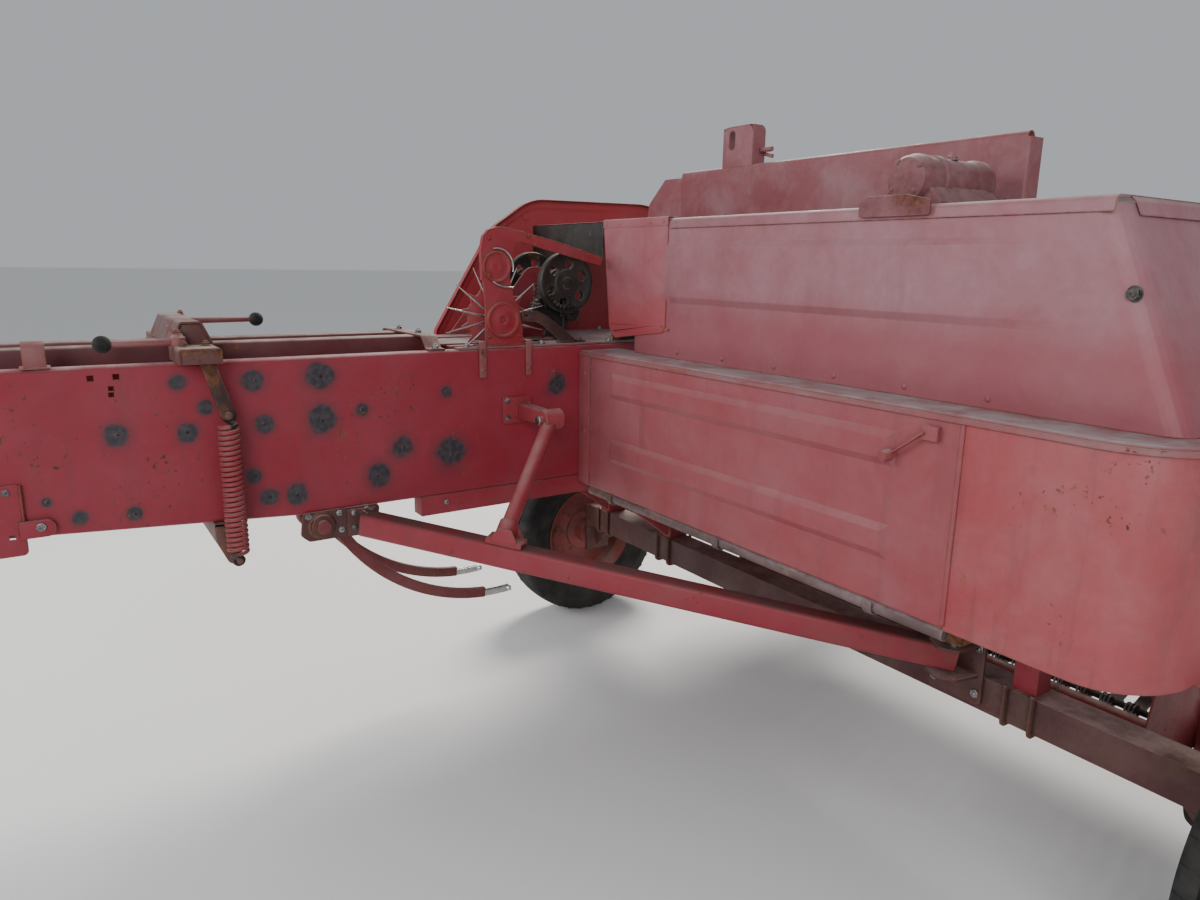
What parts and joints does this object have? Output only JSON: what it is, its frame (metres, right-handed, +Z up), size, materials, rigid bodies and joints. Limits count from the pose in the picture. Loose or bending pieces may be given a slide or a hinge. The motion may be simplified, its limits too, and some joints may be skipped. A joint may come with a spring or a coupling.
{
  "type": "square baler",
  "caption": "Trailed square hay baler with side pickup, feeder house, bale chamber, knotters and drawbar.",
  "frame": {"origin": "on the ground under the middle of the machine's box, with the tyres and the jack's foot at Z 0", "axes": "+X to the machine's right, +Y the way it is towed, +Z up"},
  "size_m": [2.74, 4.5079, 1.948],
  "materials": {
    "red_paint": "faded red paint",
    "worn_paint": "worn and rusty paint",
    "dark_paint": "dirty dark red paint",
    "dusty_steel": "dusty worn paint",
    "bare_steel": "worn steel",
    "cast_iron": "greasy casting",
    "tyre": "weathered rubber",
    "black_guard": "scuffed plastic"
  },
  "bodies": {
    "chassis": {"chamber_right_wall": "red_paint", "chamber_left_wall": "red_paint", "chamber_floor": "bare_steel", "chamber_deck": "red_paint", "top_rails": "worn_paint", "rear_plates": "red_paint", "tension_frame": "worn_paint", "tension_springs": "red_paint", "tension_cranks": "worn_paint", "knotter_frame": "red_paint", "knotters": "cast_iron", "yoke_bearings": "worn_paint", "house_rear_panel": "red_paint", "twine_box": "red_paint", "house_shelf": "dusty_steel", "house_floor": "bare_steel", "upper_panel": "red_paint", "upper_end": "red_paint", "upper_roof": "red_paint", "left_flap": "red_paint", "front_hood": "red_paint", "feeder_gearbox": "worn_paint", "house_pipe": "dusty_steel", "left_shield": "red_paint", "axle_beam": "dark_paint", "pedestals": "dark_paint", "axle_brace": "red_paint", "brace_strut": "red_paint", "main_gearbox": "cast_iron", "plunger": "cast_iron", "drawbar_bracket": "dark_paint"},
    "wheel_left": {"tyre_left": "tyre", "rim_left": "red_paint"},
    "wheel_right": {"tyre_right": "tyre", "rim_right": "red_paint"},
    "measuring_wheel": {"star_wheel": "red_paint"},
    "needles": {"needle_yoke": "red_paint"},
    "auger": {"feed_auger": "bare_steel"},
    "pickup": {"pickup_frame": "red_paint", "stripper_bands": "worn_paint"},
    "reel": {"pickup_reel": "bare_steel"},
    "gauge": {"gauge_wheel": "bare_steel"},
    "wheel_fly": {"flywheel": "cast_iron"},
    "power_shaft": {"pto_shaft": "black_guard"},
    "tongue": {"drawbar": "dark_paint", "jack_tube": "dark_paint"},
    "stand": {"jack_leg": "bare_steel"}
  },
  "joints": [
    {"name": "left_wheel_spin", "type": "hinge", "parent": "chassis", "child": "wheel_left", "pos_m": [-1.2825, 0.096, 0.35], "axis": [1, 0, 0], "continuous": true},
    {"name": "right_wheel_spin", "type": "hinge", "parent": "chassis", "child": "wheel_right", "pos_m": [1.2825, 0.096, 0.35], "axis": [1, 0, 0], "continuous": true},
    {"name": "measuring_spin", "type": "hinge", "parent": "chassis", "child": "measuring_wheel", "pos_m": [-0.667, -0.635, 1.326], "axis": [1, 0, 0], "continuous": true},
    {"name": "needle_swing", "type": "hinge", "parent": "chassis", "child": "needles", "pos_m": [-0.851, -1.218, 0.766], "axis": [1, 0, 0], "range_deg": [0, 74]},
    {"name": "auger_spin", "type": "hinge", "parent": "chassis", "child": "auger", "pos_m": [-0.557, -0.024, 1.01], "axis": [1, 0, 0], "continuous": true},
    {"name": "pickup_lift", "type": "hinge", "parent": "chassis", "child": "pickup", "pos_m": [-0.467, 0.38, 0.727], "axis": [1, 0, 0], "range_deg": [-3, 15]},
    {"name": "reel_spin", "type": "hinge", "parent": "pickup", "child": "reel", "pos_m": [-0.467, 0.606, 0.47], "axis": [1, 0, 0], "continuous": true},
    {"name": "gauge_spin", "type": "hinge", "parent": "pickup", "child": "gauge", "pos_m": [0.995, 0.606, 0.205], "axis": [1, 0, 0], "continuous": true},
    {"name": "flywheel_spin", "type": "hinge", "parent": "chassis", "child": "wheel_fly", "pos_m": [-0.851, 0.846, 0.985], "axis": [0, 1, 0], "continuous": true},
    {"name": "shaft_spin", "type": "hinge", "parent": "chassis", "child": "power_shaft", "pos_m": [-0.851, 0.999, 0.973], "axis": [0, 0.9774, -0.2112], "continuous": true},
    {"name": "drawbar_swing", "type": "hinge", "parent": "chassis", "child": "tongue", "pos_m": [-0.851, 0.696, 0.594], "axis": [0, 0, 1], "range_deg": [-12, 12]},
    {"name": "jack_slide", "type": "slide", "parent": "tongue", "child": "stand", "axis": [0, 0, 1], "range_m": [0, 0.2]}
  ],
  "couplings": [
    {"joint": "shaft_spin", "follows": "flywheel_spin", "ratio": 1}
  ]
}
